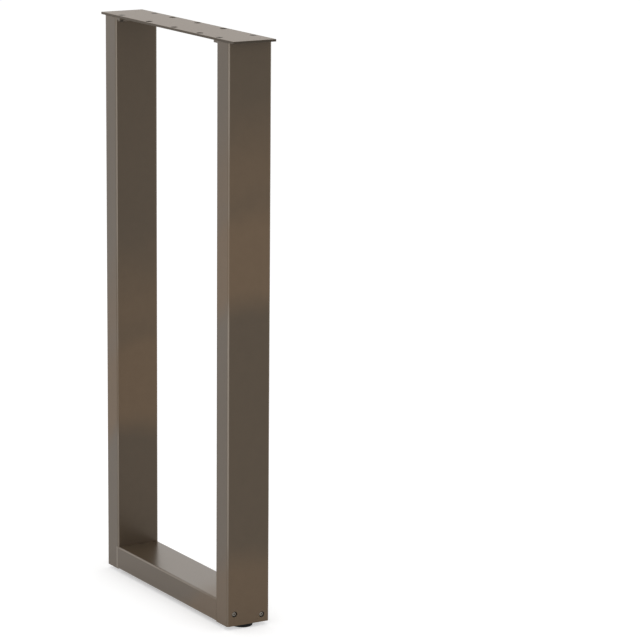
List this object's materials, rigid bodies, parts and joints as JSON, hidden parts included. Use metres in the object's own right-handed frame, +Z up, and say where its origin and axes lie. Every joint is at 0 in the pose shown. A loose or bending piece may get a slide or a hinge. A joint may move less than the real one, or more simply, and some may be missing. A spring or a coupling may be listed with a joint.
{
  "type": "u shaped table leg",
  "caption": "U-shaped table leg of rectangular steel tube: uprights, a flat bottom rail, a drilled plate on top to screw under a table and round levelling feet.",
  "frame": {"origin": "on the floor, midway between the two feet, which are screwed fully in", "axes": "+Z up, +X along the leg's width, the front at -Y"},
  "size_m": [0.346, 0.06, 0.74],
  "materials": {
    "coated_steel": "satin",
    "bare_steel": "mill",
    "screw_steel": "blackened",
    "foot_plastic": "matte"
  },
  "bodies": {
    "frame": {"top_plate": "coated_steel", "bottom_rail": "coated_steel", "left_upright": "coated_steel", "left_plate_tab": "coated_steel", "right_upright": "coated_steel", "right_plate_tab": "coated_steel", "left_rail_end_plate": "bare_steel", "left_foot_plate": "bare_steel", "right_rail_end_plate": "bare_steel", "right_foot_plate": "bare_steel", "left_front_bush": "bare_steel", "left_back_bush": "bare_steel", "right_front_bush": "bare_steel", "right_back_bush": "bare_steel", "left_front_plate_screw": "screw_steel", "left_front_rail_screw": "screw_steel", "left_back_plate_screw": "screw_steel", "left_back_rail_screw": "screw_steel", "right_front_plate_screw": "screw_steel", "right_front_rail_screw": "screw_steel", "right_back_plate_screw": "screw_steel", "right_back_rail_screw": "screw_steel"},
    "left_foot": {"left_foot_base": "foot_plastic", "left_foot_stud": "bare_steel"},
    "right_foot": {"right_foot_base": "foot_plastic", "right_foot_stud": "bare_steel"}
  },
  "joints": [
    {"name": "left_foot_height", "type": "slide", "parent": "frame", "child": "left_foot", "axis": [0, 0, 1], "range_m": [-0.01, 0]},
    {"name": "right_foot_height", "type": "slide", "parent": "frame", "child": "right_foot", "axis": [0, 0, 1], "range_m": [-0.01, 0]}
  ]
}
